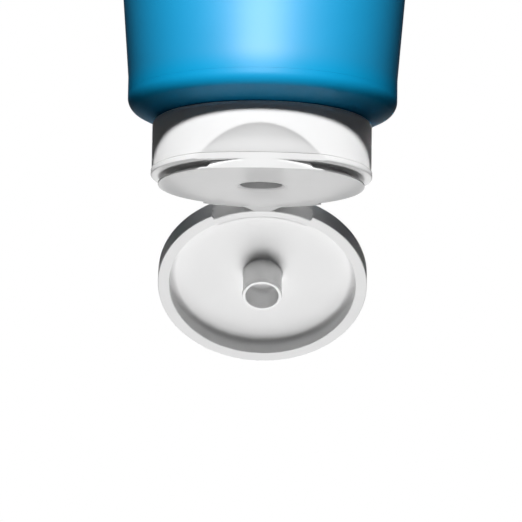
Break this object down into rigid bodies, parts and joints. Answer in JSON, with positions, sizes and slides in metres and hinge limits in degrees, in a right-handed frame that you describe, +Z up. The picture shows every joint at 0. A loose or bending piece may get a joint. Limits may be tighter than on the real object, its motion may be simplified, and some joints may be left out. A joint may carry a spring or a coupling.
{
  "type": "squeeze tube with flip-top dispensing closure",
  "caption": "Round-to-flat squeeze tube with a press-fit closure whose flat round lid swings on a film hinge and plugs the orifice.",
  "frame": {"origin": "grip point on the tube's axis, halfway up the sleeve, where a hand holds it", "axes": "+Z up the tube's axis from the closure to the seal, -Y out of the thumb scoop, +Y towards the lid's hinge, +X along the hinge"},
  "size_m": [0.0794, 0.0813, 0.2267],
  "materials": {
    "frosted_sleeve": "frosted translucent blue",
    "moulded_head": "satin translucent blue",
    "white_skirt": "satin white",
    "white_deck": "gloss white",
    "white_collar": "satin white",
    "white_lid": "gloss white",
    "white_plug": "gloss white",
    "white_hinge": "satin white"
  },
  "bodies": {
    "tube": {"tube_sleeve": "frosted_sleeve", "tube_head": "moulded_head", "skirt_shell": "white_skirt", "deck_insert": "white_deck", "neck_collar": "white_collar", "hinge_web_left": "white_hinge", "hinge_web_right": "white_hinge", "hinge_strap": "white_hinge"},
    "lid": {"lid_shell": "white_lid", "sealing_plug": "white_plug"}
  },
  "joints": [
    {"name": "lid_hinge", "type": "hinge", "parent": "tube", "child": "lid", "pos_m": [0, 0.0206, -0.10974], "axis": [1, 0, 0], "range_deg": [-142.5, 25], "stiffness_Nm_per_rad": 0.02, "deforming": ["hinge_web_left", "hinge_web_right", "hinge_strap"]}
  ]
}
